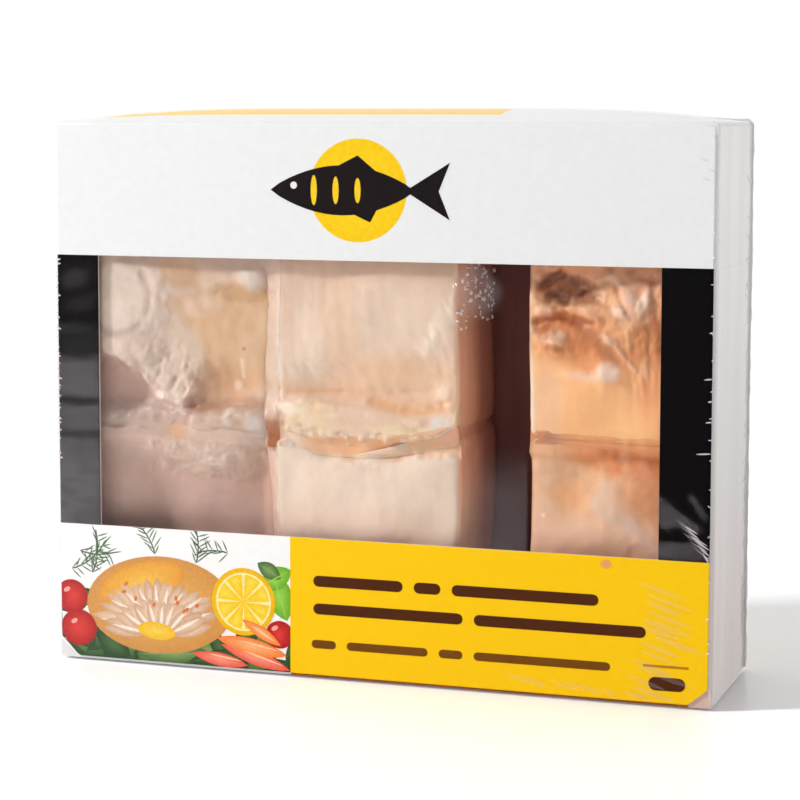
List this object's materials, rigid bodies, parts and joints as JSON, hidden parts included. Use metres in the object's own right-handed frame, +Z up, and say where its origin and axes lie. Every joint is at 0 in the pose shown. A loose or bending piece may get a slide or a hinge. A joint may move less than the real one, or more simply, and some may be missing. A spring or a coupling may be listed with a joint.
{
  "type": "windowed carton of frozen cod loins",
  "caption": "Upright windowed carton of frozen desalted cod loins in clear shrink film: folded board, a cut-out front flap and stacked fish blocks that show through it.",
  "frame": {"origin": "middle of the base of the film-wrapped pack, on the surface it stands on", "axes": "+X to the right along the front as the window is looked at, +Y from the front to the back, +Z up"},
  "size_m": [0.2128, 0.0572, 0.1751],
  "materials": {
    "board": "coated folding board, satin, printed in fields of white, black and yellow",
    "fish": "frozen raw cod, translucent and moist, cream to amber with frost at the edges",
    "film": "clear shrink film, glossy, with fine wrinkles"
  },
  "bodies": {
    "root": {"carton": "board", "loin_upper_left": "fish", "loin_lower_left": "fish", "loin_upper_middle": "fish", "loin_lower_middle": "fish", "loin_upper_right": "fish", "loin_lower_right": "fish", "film": "film"}
  },
  "joints": []
}
